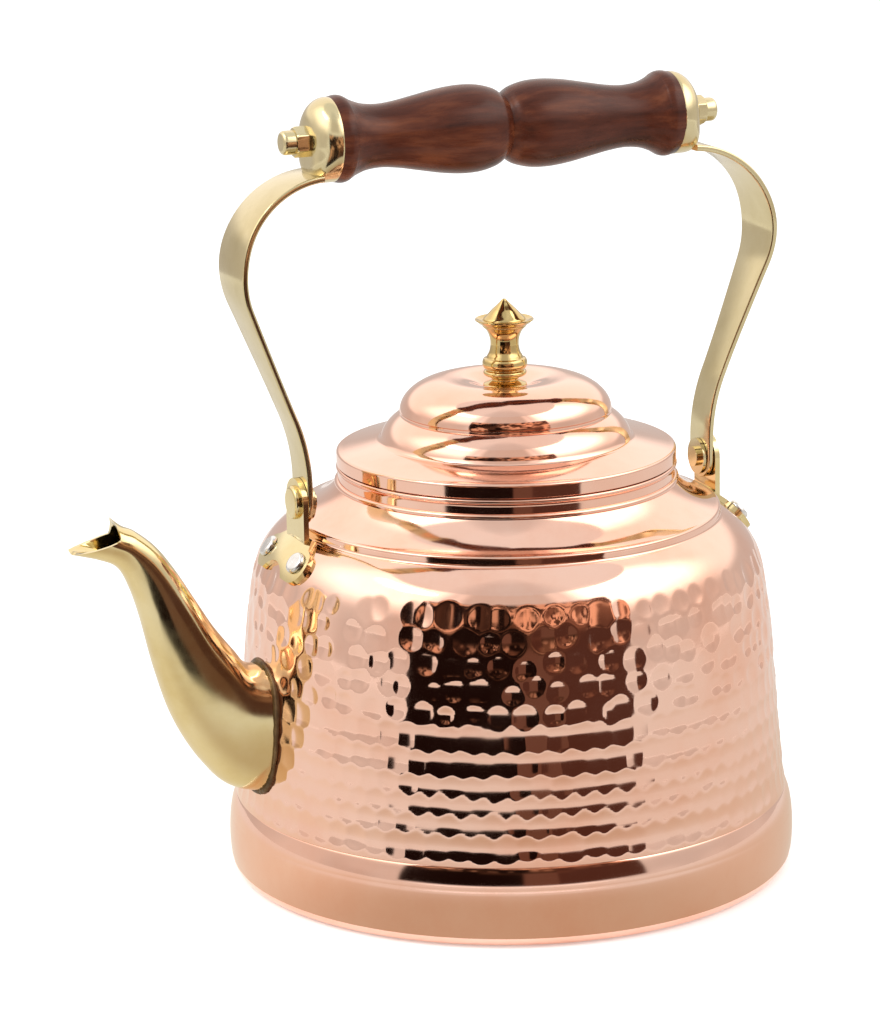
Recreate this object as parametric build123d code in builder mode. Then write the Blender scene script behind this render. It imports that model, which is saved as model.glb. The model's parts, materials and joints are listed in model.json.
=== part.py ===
from build123d import *
from math import atan2, cos, degrees, radians, sin
import os

# A stove kettle of hammered copper with a brass spout, brass bail straps and a turned wooden grip.
# Millimetres. Z is up, the origin is the centre of the base, and the spout points along -X.
# The bail stands in the XZ plane and swings about an axis along X through its two pivot rivets.
# Rotation-symmetric outlines are drawn in the XZ plane as (radius, height).

os.makedirs("parts", exist_ok=True)

# ---- driving dimensions ----------------------------------------------------
# body
sheet = 1.0              # copper sheet of the body and the base pan
base_flat_r = 81.0       # flat that the kettle stands on
band_r = 86.0            # widest radius, on the smooth base band
band_edge_r = 85.6       # band radius at its lower and upper ends
band_low = 4.6
band_high = 17.6
seam_z = 24.0            # where the base pan meets the wall
seam_gap = 0.1
hem_low = 6.0            # the wall goes on down inside the pan as a hem
wall_foot_r = 83.5
wall_mid_r, wall_mid_z = 79.8, 70.0    # the wall is a plain cone up to here
wall_top_r, wall_top_z = 76.9, 91.5
shoulder_r, shoulder_z = 64.9, 107.6
step_r = 64.1            # short upright ring between the shoulder and the cone
step_top = 110.7
collar_r = 50.6
collar_foot = 119.3
lip_z = 123.45           # centre height of the rolled lip
lip_roll = 0.8

# lid
lid_sheet = 0.9
brim_r = 50.9
brim_low = 124.4
brim_high = 128.8
lower_ring = (30.0, 133.0, 7.1, 6.5)    # centre radius, centre height, half-width, half-height
upper_ring = (24.0, 141.8, 8.2, 6.7)
crown_z = 147.2          # the crown dips a little to the knob's seat
knob_foot_r = 6.6
skirt_r = 49.0
skirt_sheet = 0.8
skirt_low = 116.5
screw_r = 2.0

# bail
pivot_z = 118.6
strap_x = 65.3           # middle of the strap at the pivot
strap_t = 1.8
strap_end_r = 6.6
bend_z = 124.0           # where the strap starts to lean outwards
slant_length = 36.2
pivot_pin_r = 2.45
pivot_play = 0.15        # side play of the strap between ear and washer
washer_t = 1.0
grip_z = 225.0
grip_half = 54.6
grip_bulge_r = 12.9
grip_neck_r = 9.2
grip_flange_r = 12.6
grip_groove_r = 9.5
cap_r = 12.35
cap_depth = 5.2
cap_t = 1.4
rod_r = 2.5
nut_flats = 8.0
nut_hex_len = 5.2
nut_end_r = 3.7
nut_len = 9.3
nut_washer_r = 4.7
nut_washer_t = 1.6

# lugs
lug_t = 1.6
lug_gap = 0.03           # the foot lies this far off the shoulder
ear_r = 7.2
lug_rivet_y = 11.0
lug_rivet_r = 71.8       # distance of the rivets from the kettle's axis
lug_rivet_shank = 1.9
tail_depth = 2.2         # inner end of a rivet's flattened tail, below the shoulder
hole_play = 0.05

# spout
spout_t = 1.5
solder = 1.1
spout_root_x = -74.0
# each section: middle X, middle Z, height, width, tilt of its plane from vertical in degrees
spout_sections = [
    (spout_root_x, 50.6, 39.0, 26.0, 0.0),
    (-87.0, 53.0, 37.6, 25.0, 8.8),
    (-94.0, 59.8, 35.6, 23.0, 16.2),
    (-101.0, 70.6, 30.0, 20.0, 25.7),
    (-106.5, 83.0, 25.0, 17.2, 28.6),
    (-111.4, 95.8, 18.6, 15.0, 32.1),
    (-115.6, 104.4, 14.6, 13.6, 33.5),
    (-121.2, 110.6, 12.8, 13.0, 33.5),
    (-134.5, 119.4, 14.2, 13.4, 42.0),
]
lip_tip = (-136.8, 111.4)
beak_tip = (-125.6, 121.3)
mouth_notch = (-123.6, 114.4)


def label_and_save(piece, name):
    """Labels a finished piece and writes it as one STEP file."""
    piece.part.label = name
    export_step(piece.part, f"parts/{name}.step")


def outer_body_line():
    """Outside of the body from the seam up to the collar's lip, drawn in the current BuildLine."""
    wall = Line((wall_foot_r, seam_z + seam_gap), (wall_mid_r, wall_mid_z))
    upper_wall = TangentArc((wall_mid_r, wall_mid_z), (wall_top_r, wall_top_z), tangent=wall % 1)
    shoulder = TangentArc((wall_top_r, wall_top_z), (shoulder_r, shoulder_z), tangent=upper_wall % 1)
    ThreePointArc(shoulder @ 1, (step_r + 0.15, shoulder_z + 0.5), (step_r, shoulder_z + 1.2))
    Line((step_r, shoulder_z + 1.2), (step_r, step_top - 0.8))
    ThreePointArc((step_r, step_top - 0.8), (step_r - 0.25, step_top - 0.22), (step_r - 0.9, step_top))
    ThreePointArc((step_r - 0.9, step_top), (56.3, 113.9), (collar_r + 0.6, collar_foot - 0.6))
    ThreePointArc(
        (collar_r + 0.6, collar_foot - 0.6),
        (collar_r + 0.65, collar_foot - 0.15),
        (collar_r, collar_foot + 0.2),
    )
    Line((collar_r, collar_foot + 0.2), (collar_r, lip_z))
    return shoulder


# ---- solid of the body's outer shape, used to trim what lies against it ------
with BuildPart() as body_outside:
    with BuildSketch(Plane.XZ):
        with BuildLine():
            shoulder_arc = outer_body_line()
            Polyline(
                (collar_r, lip_z), (0, lip_z), (0, seam_z + seam_gap), (wall_foot_r, seam_z + seam_gap)
            )
        make_face()
    revolve(axis=Axis.Z)

shoulder_centre = shoulder_arc.arc_center
shoulder_radius = shoulder_arc.radius


def shoulder_point(radius):
    """Height of the shoulder at a radius, and the slope angle of its normal above horizontal."""
    across = radius - shoulder_centre.X
    up = (shoulder_radius**2 - across**2) ** 0.5
    return shoulder_centre.Y + up, degrees(atan2(up, across))


def shoulder_plane(side, offset_y, radius):
    """Plane on the shoulder, its z axis along the surface normal and its y axis uphill."""
    height, lean = shoulder_point(radius)
    along = side * (radius**2 - offset_y**2) ** 0.5
    out = Vector(along, offset_y, 0).normalized()
    normal = out * cos(radians(lean)) + Vector(0, 0, sin(radians(lean)))
    uphill = Vector(0, 0, cos(radians(lean))) - out * sin(radians(lean))
    return Plane(origin=(along, offset_y, height), x_dir=uphill.cross(normal), z_dir=normal)


# ---- spout ------------------------------------------------------------------
def spout_faces(inset):
    """Cross-sections of the gooseneck, each one smaller all round by inset."""
    faces = []
    for x, z, height, width, tilt in spout_sections:
        plane = Plane(
            origin=(x, 0, z),
            x_dir=(sin(radians(tilt)), 0, cos(radians(tilt))),
            z_dir=(-cos(radians(tilt)), 0, sin(radians(tilt))),
        )
        with BuildSketch(plane) as section:
            RectangleRounded(height - 2 * inset, width - 2 * inset, 0.46 * min(height, width) - inset)
        faces.append(section.sketch.face())
    return faces


with BuildPart() as spout_solid:
    loft(sections=spout_faces(0))

with BuildPart() as spout_bore:
    loft(sections=spout_faces(spout_t))

with BuildPart() as spout:
    add(spout_solid.part)
    add(spout_bore.part, mode=Mode.SUBTRACT)
    add(body_outside.part, mode=Mode.SUBTRACT)
    # everything past the mouth's rim is cut away: a long lower lip, a notch and the beak above it
    with BuildSketch(Plane.XZ):
        with BuildLine():
            ThreePointArc(lip_tip, (-130.2, 112.4), mouth_notch)
            ThreePointArc(mouth_notch, (-123.8, 118.1), beak_tip)
            Polyline(beak_tip, (-127.6, 133.3), (-152, 132), (-152, 104), (-136.9, 104), lip_tip)
        make_face()
    extrude(amount=20, both=True, mode=Mode.SUBTRACT)

# bead of solder round the spout's base, on the wall
with BuildPart() as spout_solder:
    root_z, root_height, root_width = spout_sections[0][1:4]
    with BuildSketch(Plane.YZ.offset(spout_root_x)):
        with Locations((0, root_z)):
            RectangleRounded(root_width + 2 * solder, root_height + 2 * solder, 0.46 * root_width + solder)
    extrude(amount=-20)
    with BuildSketch(Plane.XZ):
        with BuildLine():
            Polyline(
                (60, seam_z),
                (wall_foot_r + solder, seam_z),
                (wall_mid_r + solder, wall_mid_z),
                (wall_mid_r + solder, wall_mid_z + 6),
                (60, wall_mid_z + 6),
                close=True,
            )
        make_face()
    revolve(axis=Axis.Z, mode=Mode.INTERSECT)
    add(body_outside.part, mode=Mode.SUBTRACT)
    add(spout_solid.part, mode=Mode.SUBTRACT)

# ---- copper body ------------------------------------------------------------
with BuildPart() as body_shell:
    with BuildSketch(Plane.XZ):
        with BuildLine():
            outer_body_line()
            offset(amount=sheet, side=Side.LEFT)
        make_face()
        # rolled lip round the neck
        with Locations((collar_r - 0.2, lip_z)):
            Circle(lip_roll)
        # hem that slips inside the base pan
        with Locations((wall_foot_r - 1.5 * sheet - seam_gap, hem_low)):
            Rectangle(sheet, seam_z + 2.0 - hem_low, align=(Align.CENTER, Align.MIN))
    revolve(axis=Axis.Z)
    for side in (-1, 1):
        for offset_y in (-lug_rivet_y, lug_rivet_y):
            with Locations(shoulder_plane(side, offset_y, lug_rivet_r)):
                Cylinder(lug_rivet_shank + hole_play, 8, mode=Mode.SUBTRACT)
    # the way into the spout, a little smaller than the spout's bore
    with BuildSketch(Plane.YZ.offset(spout_root_x)):
        with Locations((0, root_z + 1)):
            RectangleRounded(root_width - 6, root_height - 6, 0.46 * root_width - 3)
    extrude(amount=-20, mode=Mode.SUBTRACT)

with BuildPart() as base_pan:
    with BuildSketch(Plane.XZ):
        with BuildLine():
            Line((0, 0), (base_flat_r, 0))
            ThreePointArc((base_flat_r, 0), (84.3, 1.3), (band_edge_r, band_low))
            ThreePointArc(
                (band_edge_r, band_low), (band_r, 0.5 * (band_low + band_high)), (band_edge_r, band_high)
            )
            ThreePointArc((band_edge_r, band_high), (84.25, 20.4), (wall_foot_r, seam_z))
            offset(amount=sheet, side=Side.LEFT)
        make_face()
    revolve(axis=Axis.Z)

# ---- lid --------------------------------------------------------------------
with BuildPart() as lid_shell:
    with BuildSketch(Plane.XZ):
        with BuildLine():
            low_r, low_z, low_a, low_b = lower_ring
            up_r, up_z, up_a, up_b = upper_ring
            edge = Line((brim_r, brim_low), (brim_r, brim_high - 0.9))
            turn = ThreePointArc(edge @ 1, (brim_r - 0.26, brim_high - 0.26), (brim_r - 0.9, brim_high))
            brim = Line(turn @ 1, (low_r + low_a + 0.8, 130.2))
            rise = ThreePointArc(brim @ 1, (low_r + low_a + 0.1, 130.6), (low_r + low_a - 0.1, 131.4))
            Line(rise @ 1, (low_r + low_a, low_z))
            lower_bulge = EllipticalCenterArc((low_r, low_z), low_a, low_b, start_angle=0, arc_size=77)
            Line(lower_bulge @ 1, (up_r + up_a - 0.15, up_z - 1.4))
            Line((up_r + up_a - 0.15, up_z - 1.4), (up_r + up_a, up_z))
            upper_bulge = EllipticalCenterArc((up_r, up_z), up_a, up_b, start_angle=0, arc_size=88)
            Polyline(
                upper_bulge @ 1,
                (knob_foot_r + 0.6, crown_z),
                (screw_r + hole_play, crown_z),
                (screw_r + hole_play, crown_z - lid_sheet),
                (knob_foot_r + 0.6, crown_z - lid_sheet),
                (up_r, up_z + up_b - lid_sheet),
            )
            inner_upper = EllipticalCenterArc(
                (up_r, up_z), up_a - lid_sheet, up_b - lid_sheet, start_angle=0, arc_size=90
            )
            inner_lower = EllipticalCenterArc(
                (low_r, low_z), low_a - lid_sheet, low_b - lid_sheet, start_angle=0, arc_size=80
            )
            Polyline(inner_upper @ 0, (up_r + up_a - lid_sheet, up_z - 2.6), inner_lower @ 1)
            Polyline(
                inner_lower @ 0,
                (low_r + low_a - lid_sheet, 129.5),
                (brim_r - lid_sheet, brim_high - lid_sheet - 0.1),
                (brim_r - lid_sheet, brim_low),
                (brim_r, brim_low),
            )
        make_face()
    revolve(axis=Axis.Z)

with BuildPart() as lid_skirt:
    with BuildSketch(Plane.XY.offset(skirt_low)):
        Circle(skirt_r)
        Circle(skirt_r - skirt_sheet, mode=Mode.SUBTRACT)
    extrude(until=Until.NEXT, target=lid_shell.part)

with BuildPart() as lid_knob:
    with BuildSketch(Plane.XZ):
        with BuildLine():
            Polyline((0, crown_z), (knob_foot_r, crown_z), (knob_foot_r, 147.8))
            Spline((knob_foot_r, 147.8), (4.6, 149.0), (4.2, 149.9), (5.6, 151.1), (6.4, 151.2))
            ThreePointArc((6.4, 151.2), (6.75, 151.95), (6.4, 152.7))
            Polyline((6.4, 152.7), (5.8, 152.9), (5.8, 153.3), (6.5, 153.5))
            ThreePointArc((6.5, 153.5), (6.9, 155.1), (6.5, 156.7))
            Polyline((6.5, 156.7), (5.9, 157.0), (5.9, 157.5))
            Spline((5.9, 157.5), (4.75, 160.4), (5.0, 164.5))
            Spline((5.0, 164.5), (6.4, 166.0), (8.85, 167.7))
            Polyline((8.85, 167.7), (8.75, 168.3), (6.5, 168.1), (6.1, 168.9))
            Spline((6.1, 168.9), (3.2, 171.2), (1.3, 173.3))
            Polyline((1.3, 173.3), (0.9, 173.6), (0, 173.6), (0, crown_z))
        make_face()
    revolve(axis=Axis.Z)
    with Locations((0, 0, crown_z)):
        Cylinder(screw_r, 9, align=(Align.CENTER, Align.CENTER, Align.MIN), mode=Mode.SUBTRACT)

with BuildPart() as knob_washer:
    with BuildSketch(Plane.XY.offset(crown_z - lid_sheet - 1.0)):
        Circle(6.0)
        Circle(screw_r + 0.1, mode=Mode.SUBTRACT)
    extrude(amount=1.0)

with BuildPart() as knob_screw:
    with BuildSketch(Plane.XY.offset(crown_z - lid_sheet - 1.0)):
        Circle(screw_r)
    extrude(amount=9.0)
    with BuildSketch(Plane.XY.offset(crown_z - lid_sheet - 1.0)):
        Circle(3.8)
    extrude(amount=-2.4)
    fillet(knob_screw.faces().sort_by(Axis.Z)[0].edges(), radius=1.0)
    with BuildSketch(knob_screw.faces().sort_by(Axis.Z)[0]):
        Rectangle(8, 1.0)
    extrude(amount=-1.2, mode=Mode.SUBTRACT)

# ---- lugs, rivets and pivots ------------------------------------------------
ear_inner = strap_x + 0.5 * strap_t + pivot_play
ear_outer = ear_inner + lug_t
washer_outer = strap_x - 0.5 * strap_t - pivot_play
washer_inner = washer_outer - washer_t
ends = (("front", -1), ("rear", 1))


def side_plane(distance, side):
    """Plane across X at a distance from the kettle's axis; its normal points away from the axis."""
    return Plane(origin=(side * distance, 0, 0), x_dir=(0, side, 0), z_dir=(side, 0, 0))


for end, side in ends:
    with BuildPart() as lug:
        # foot: a strip of shell that follows the shoulder, cut to the lug's outline
        with BuildSketch(Plane.XZ):
            with Locations((shoulder_centre.X, shoulder_centre.Y)):
                Circle(shoulder_radius + lug_t)
        revolve(axis=Axis.Z)
        with BuildSketch(shoulder_plane(side, 0, lug_rivet_r)):
            Polygon((8, 9), (-8, 9), (-15.4, 2.2), (-11, -5.6), (11, -5.6), (15.4, 2.2), align=None)
            with Locations((-lug_rivet_y, 0), (lug_rivet_y, 0)):
                Circle(5.6)
            with Locations((0, -11)):
                Circle(9, mode=Mode.SUBTRACT)
        extrude(amount=8, both=True, mode=Mode.INTERSECT)
        # ear: upright plate with a round top, outside the strap
        with BuildSketch(side_plane(ear_inner, side)):
            with Locations((0, pivot_z)):
                Circle(ear_r)
            with Locations((0, 0.5 * (pivot_z + 98))):
                Rectangle(2 * ear_r, pivot_z - 98)
        extrude(amount=lug_t)
        with BuildSketch(Plane.XZ):
            with Locations((shoulder_centre.X, shoulder_centre.Y)):
                Circle(shoulder_radius + lug_gap)
        revolve(axis=Axis.Z, mode=Mode.SUBTRACT)
        with Locations(side_plane(ear_inner, side)):
            with Locations((0, pivot_z, 0)):
                Cylinder(pivot_pin_r, 10, mode=Mode.SUBTRACT)
        for offset_y in (-lug_rivet_y, lug_rivet_y):
            with Locations(shoulder_plane(side, offset_y, lug_rivet_r)):
                Cylinder(lug_rivet_shank + hole_play, 8, mode=Mode.SUBTRACT)
    label_and_save(lug, f"{end}_lug")

    for hand, offset_y in (("right", -side * lug_rivet_y), ("left", side * lug_rivet_y)):
        with BuildPart() as lug_rivet:
            with BuildSketch(shoulder_plane(side, offset_y, lug_rivet_r).offset(-tail_depth)):
                Circle(lug_rivet_shank + 0.9)
            extrude(amount=0.9)
            with BuildSketch(shoulder_plane(side, offset_y, lug_rivet_r).offset(-tail_depth)):
                Circle(lug_rivet_shank)
            extrude(amount=tail_depth + lug_t)
            with BuildSketch(shoulder_plane(side, offset_y, lug_rivet_r).offset(lug_t)):
                Circle(3.4)
            extrude(amount=1.3)
            head_edge = lug_rivet.faces().sort_by(
                Axis((0, 0, 0), shoulder_plane(side, offset_y, lug_rivet_r).z_dir)
            )[-1]
            fillet(head_edge.edges(), radius=1.0)
        label_and_save(lug_rivet, f"{end}_lug_rivet_{hand}")

    with BuildPart() as pivot_rivet:
        with BuildSketch(side_plane(washer_inner - 1.2, side)):
            with Locations((0, pivot_z)):
                Circle(3.1)
        extrude(amount=1.2)
        with BuildSketch(side_plane(washer_inner, side)):
            with Locations((0, pivot_z)):
                Circle(pivot_pin_r)
        extrude(amount=ear_outer - washer_inner)
        with BuildSketch(side_plane(ear_outer, side)):
            with Locations((0, pivot_z)):
                Circle(5.0)
        extrude(amount=1.5)
        fillet(pivot_rivet.faces().sort_by(Axis.X)[0 if side < 0 else -1].edges(), radius=1.1)
    label_and_save(pivot_rivet, f"{end}_pivot_rivet")

    with BuildPart() as pivot_washer:
        with BuildSketch(side_plane(washer_inner, side)):
            with Locations((0, pivot_z)):
                Circle(5.5)
                Circle(pivot_pin_r, mode=Mode.SUBTRACT)
        extrude(amount=washer_t)
    label_and_save(pivot_washer, f"{end}_pivot_washer")

# ---- bail: straps, grip, rod and nuts ---------------------------------------
cap_face = grip_half + cap_depth
bail_axis = Axis((0, 0, grip_z), (1, 0, 0))

for end, side in ends:
    with BuildPart() as strap:
        # side view: one bent band of even thickness
        with BuildSketch(Plane.XZ):
            with BuildLine():
                lower_run = Line((side * strap_x, pivot_z - strap_end_r - 1), (side * strap_x, bend_z))
                outward = TangentArc(lower_run @ 1, (side * 69.3, 144.5), tangent=lower_run % 1)
                slant = Line(outward @ 1, outward @ 1 + (outward % 1) * slant_length)
                TangentArc(slant @ 1, (side * (cap_face - 2.4), grip_z - cap_r), tangent=slant % 1)
                offset(amount=0.5 * strap_t, side=Side.BOTH)
            make_face()
        extrude(amount=14, both=True)
        # front view: round lower end, widest at the bulge, narrower again at the cap
        with BuildSketch(side_plane(40, side)):
            with BuildLine():
                ThreePointArc(
                    (strap_end_r, pivot_z), (0, pivot_z - strap_end_r), (-strap_end_r, pivot_z)
                )
                Spline(
                    (strap_end_r, pivot_z), (6.5, 152), (8.4, 172), (10.6, 190), (9.4, 206), (8.4, 216),
                    tangents=((0, 1), (-0.1, 1)),
                )
                Line((8.4, 216), (-8.4, 216))
                Spline(
                    (-strap_end_r, pivot_z), (-6.5, 152), (-8.4, 172), (-10.6, 190), (-9.4, 206), (-8.4, 216),
                    tangents=((0, 1), (0.1, 1)),
                )
            make_face()
        extrude(amount=60, mode=Mode.INTERSECT)
        # cap: a shallow round cup that closes the end of the grip
        with BuildSketch(Plane.XZ):
            with BuildLine():
                wall = Line(
                    (side * grip_half, grip_z + cap_r), (side * (cap_face - 2.6), grip_z + cap_r - 0.3)
                )
                edge = ThreePointArc(
                    wall @ 1,
                    (side * (cap_face - 1.2), grip_z + cap_r - 1.0),
                    (side * (cap_face - 0.45), grip_z + cap_r - 2.6),
                )
                Polyline(
                    edge @ 1,
                    (side * cap_face, grip_z + nut_washer_r + 0.3),
                    (side * cap_face, grip_z + rod_r + 0.1),
                    (side * (cap_face - cap_t), grip_z + rod_r + 0.1),
                    (side * (cap_face - cap_t), grip_z + cap_r - 3.0),
                    (side * (cap_face - cap_t - 1.2), grip_z + cap_r - cap_t - 0.2),
                    (side * grip_half, grip_z + cap_r - cap_t),
                    (side * grip_half, grip_z + cap_r),
                )
            make_face()
        revolve(axis=bail_axis)
        # clear the cup and bore the pivot hole
        with BuildSketch(side_plane(grip_half - 4, side)):
            with Locations((0, grip_z)):
                Circle(cap_r - cap_t - 0.2)
        extrude(amount=cap_depth - cap_t + 2.8, mode=Mode.SUBTRACT)
        with BuildSketch(side_plane(strap_x - 5, side)):
            with Locations((0, pivot_z)):
                Circle(pivot_pin_r + hole_play)
        extrude(amount=10, mode=Mode.SUBTRACT)
    label_and_save(strap, f"{end}_handle_strap")

    with BuildPart() as nut_washer:
        with BuildSketch(side_plane(cap_face, side)):
            with Locations((0, grip_z)):
                Circle(nut_washer_r)
                Circle(rod_r + 0.1, mode=Mode.SUBTRACT)
        extrude(amount=nut_washer_t)
        chamfer(nut_washer.faces().sort_by(Axis.X)[0 if side < 0 else -1].edges(), length=0.3)
    label_and_save(nut_washer, f"{end}_nut_washer")

    with BuildPart() as cap_nut:
        nut_start = cap_face + nut_washer_t
        with BuildSketch(side_plane(nut_start, side)):
            with Locations((0, grip_z)):
                RegularPolygon(0.5 * nut_flats, 6, major_radius=False, rotation=30)
        extrude(amount=nut_hex_len)
        with BuildSketch(side_plane(nut_start, side)):
            with Locations((0, grip_z)):
                Circle(nut_end_r)
        extrude(amount=nut_len)
        fillet(cap_nut.faces().sort_by(Axis.X)[0 if side < 0 else -1].edges(), radius=0.9)
        with BuildSketch(side_plane(nut_start, side)):
            with Locations((0, grip_z)):
                Circle(rod_r)
        extrude(amount=nut_len - 1.6, mode=Mode.SUBTRACT)
    label_and_save(cap_nut, f"{end}_cap_nut")

with BuildPart() as grip:
    with BuildSketch(Plane.XZ):
        with BuildLine():
            Line((0, grip_z), (0, grip_z + grip_groove_r))
            Spline(
                (0, grip_z + grip_groove_r),
                (1.6, grip_z + grip_groove_r + 1.0),
                (13.5, grip_z + grip_bulge_r),
                (27, grip_z + 10.9),
                (39.5, grip_z + grip_neck_r),
                (46.5, grip_z + 10.2),
                (50.0, grip_z + grip_flange_r - 0.4),
                tangents=((0.3, 1), (0.6, 1)),
            )
            ThreePointArc(
                (50.0, grip_z + grip_flange_r - 0.4),
                (51.6, grip_z + grip_flange_r + 0.1),
                (grip_half, grip_z + grip_flange_r - 0.2),
            )
            Polyline(
                (grip_half, grip_z + grip_flange_r - 0.2),
                (grip_half, grip_z + cap_r - cap_t - 0.5),
                (cap_face - cap_t - 1.3, grip_z + cap_r - cap_t - 0.5),
                (cap_face - cap_t - 1.3, grip_z),
                (0, grip_z),
            )
        make_face()
    revolve(axis=bail_axis)
    mirror(about=Plane.YZ)
    with BuildSketch(Plane.YZ):
        with Locations((0, grip_z)):
            Circle(rod_r + 0.2)
    extrude(amount=70, both=True, mode=Mode.SUBTRACT)

with BuildPart() as grip_rod:
    with BuildSketch(Plane.YZ):
        with Locations((0, grip_z)):
            Circle(rod_r)
    extrude(amount=cap_face + nut_washer_t + nut_len - 1.8, both=True)

for piece, name in (
    (body_shell, "body_shell"),
    (base_pan, "base_pan"),
    (spout, "spout"),
    (spout_solder, "spout_solder"),
    (lid_shell, "lid_shell"),
    (lid_skirt, "lid_skirt"),
    (lid_knob, "lid_knob"),
    (knob_washer, "knob_washer"),
    (knob_screw, "knob_screw"),
    (grip, "grip"),
    (grip_rod, "grip_rod"),
):
    label_and_save(piece, name)
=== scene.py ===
import json
import math

import bmesh
import bpy
import numpy as np
from mathutils import Matrix, Vector


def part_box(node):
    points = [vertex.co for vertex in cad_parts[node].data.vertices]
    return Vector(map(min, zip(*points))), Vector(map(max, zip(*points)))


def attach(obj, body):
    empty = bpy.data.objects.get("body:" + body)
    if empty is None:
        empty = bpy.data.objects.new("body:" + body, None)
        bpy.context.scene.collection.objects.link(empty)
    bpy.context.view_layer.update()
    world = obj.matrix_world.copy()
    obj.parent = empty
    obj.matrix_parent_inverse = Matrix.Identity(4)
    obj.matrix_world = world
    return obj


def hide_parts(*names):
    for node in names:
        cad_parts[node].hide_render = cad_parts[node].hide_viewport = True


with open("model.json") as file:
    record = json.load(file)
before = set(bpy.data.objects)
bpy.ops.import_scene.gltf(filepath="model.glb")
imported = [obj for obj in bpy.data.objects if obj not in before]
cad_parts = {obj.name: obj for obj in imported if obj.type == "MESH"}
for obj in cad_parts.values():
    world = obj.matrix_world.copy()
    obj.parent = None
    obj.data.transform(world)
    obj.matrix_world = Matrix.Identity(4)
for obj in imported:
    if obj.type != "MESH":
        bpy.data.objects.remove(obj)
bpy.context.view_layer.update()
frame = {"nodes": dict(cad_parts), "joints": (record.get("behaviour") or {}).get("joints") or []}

# A hammered copper kettle with a brass spout, a brass bail and a turned wooden grip.
# Outlines are in millimetres, as (radius, height) for pieces turned about the kettle's axis
# and as (x, radius) for pieces turned about the grip's axis. Meshes are made in metres.

MM = 0.001
FULL_TURN = 2 * math.pi
RNG = np.random.default_rng(11)

# ---- places read from the frame ---------------------------------------------------------------
PIVOT_Z = [j for j in frame["joints"] if j["name"] == "bail_swing"][0]["pos_m"][2] / MM
GRIP_LOW, GRIP_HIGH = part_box("grip")
GRIP_Z = 0.5 * (GRIP_LOW.z + GRIP_HIGH.z) / MM
LID_LOW, LID_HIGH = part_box("lid_shell")
BRIM_LOW = LID_LOW.z / MM
BRIM_R = LID_HIGH.x / MM
CROWN_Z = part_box("lid_knob")[0].z / MM
PAN_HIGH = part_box("base_pan")[1]
SEAM_Z = PAN_HIGH.z / MM
BAND_R = PAN_HIGH.x / MM

# ---- body dimensions --------------------------------------------------------------------------
SHEET = 1.0
WALL_FOOT = (83.7, SEAM_Z + 0.1)
FOOT_BEND = (83.15, 29.8)
WALL_MID = (79.8, 70.0)
WALL_TOP = (76.9, 91.5)
SHOULDER_END = (64.9, 107.6)
STEP_R = 64.1
STEP_TOP = 110.7
COLLAR_R = 50.6
COLLAR_FOOT = 119.3
LIP_Z = 123.45
LINING_LOW = 27.0
HEM_R = 81.4
HEM_Z = 6.0
COLUMNS = 720

# hammer marks, a row at a time: height, marks in the row, half-width, half-height, depth, jitter
DENT_ROWS = [(height, 80, 4.7, 4.2, 0.42, 0.10) for height in (29.6, 36.1, 41.5, 46.7, 54.1, 61.2)]
DENT_ROWS += [
    (height, 66, size, size, 0.46, 0.45)
    for height, size in ((68.4, 3.4), (75.4, 3.5), (82.4, 3.6), (89.3, 3.5), (95.4, 3.3))
]
ROW_SHIFT, ROW_SHIFT_SPREAD = 0.5, 0.12  # from row to row, in spaces between marks
SLIDE_SPREAD, LEVEL_SPREAD = 0.5, 1.3  # a mark's place, for each unit of jitter
SIZE_SPREAD, SIZE_SPREAD_PER_JITTER, DEPTH_SPREAD = 0.05, 0.2, 0.18  # shares of size and depth
DENT_REACH = 1.1  # how far a mark is worked out, in half-sizes

# ---- spout dimensions -------------------------------------------------------------------------
# middle x, middle z, height, width, tilt in degrees
SPOUT_SECTIONS = np.array([
    (-74.0, 50.6, 39.0, 26.0, 0.0),
    (-87.0, 53.0, 37.6, 25.0, 8.8),
    (-94.0, 59.8, 35.6, 23.0, 16.2),
    (-101.0, 70.6, 30.0, 20.0, 25.7),
    (-106.5, 83.0, 25.0, 17.2, 28.6),
    (-111.4, 95.8, 18.6, 15.0, 32.1),
    (-115.6, 104.4, 14.6, 13.6, 32.5),
    (-120.4, 110.4, 11.8, 13.0, 29.0),
    (-125.7, 113.2, 12.0, 13.0, 38.0),
    (-133.5, 117.2, 16.5, 13.6, 46.5),
])
LIP_TIP = (-136.8, 111.4)
LIP_MIDDLE = (-130.2, 112.6)
MOUTH_NOTCH = (-123.6, 114.4)
BEAK_MIDDLE = (-123.8, 118.1)
BEAK_TIP = (-125.6, 121.3)
MOUTH_FROM = 6.0  # the first section that the mouth can reach
SPOUT_SHEET = 1.1
SECTION_ROUNDNESS = 0.72  # 1 is a circle's curve, 0 the boxy curve of SECTION_POWER
SECTION_POWER = 2.6
SECTION_SHOULDER = 3.2  # how soon a tall section's straight sides begin
ROOT_GAP = 0.05
SEARCH_STEPS = 900
SPOUT_COLUMNS, SPOUT_ROWS = 112, 130
BEAD_COLUMNS = 10
BEAD_SIZE, BEAD_STEP_OUT, BEAD_FLATNESS = 0.75, 0.35, 1.25
BEAD_WAVE, BEAD_SPREAD = 0.18, 0.1


# ---- outline tools ----------------------------------------------------------------------------
def arc_through(a, b, c, steps):
    """Points of the arc from a through b to c."""
    a, b, c = (np.array(p, float) for p in (a, b, c))
    centre = np.linalg.solve(2 * np.array([b - a, c - a]), np.array([b @ b - a @ a, c @ c - a @ a]))
    start, middle, end = (math.atan2(*(p - centre)[::-1]) for p in (a, b, c))
    turn = (end - start) % FULL_TURN
    if (middle - start) % FULL_TURN > turn:
        turn -= FULL_TURN
    angles = start + turn * np.linspace(0, 1, steps)
    radius = np.hypot(*(a - centre))
    return centre + radius * np.column_stack([np.cos(angles), np.sin(angles)])


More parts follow.
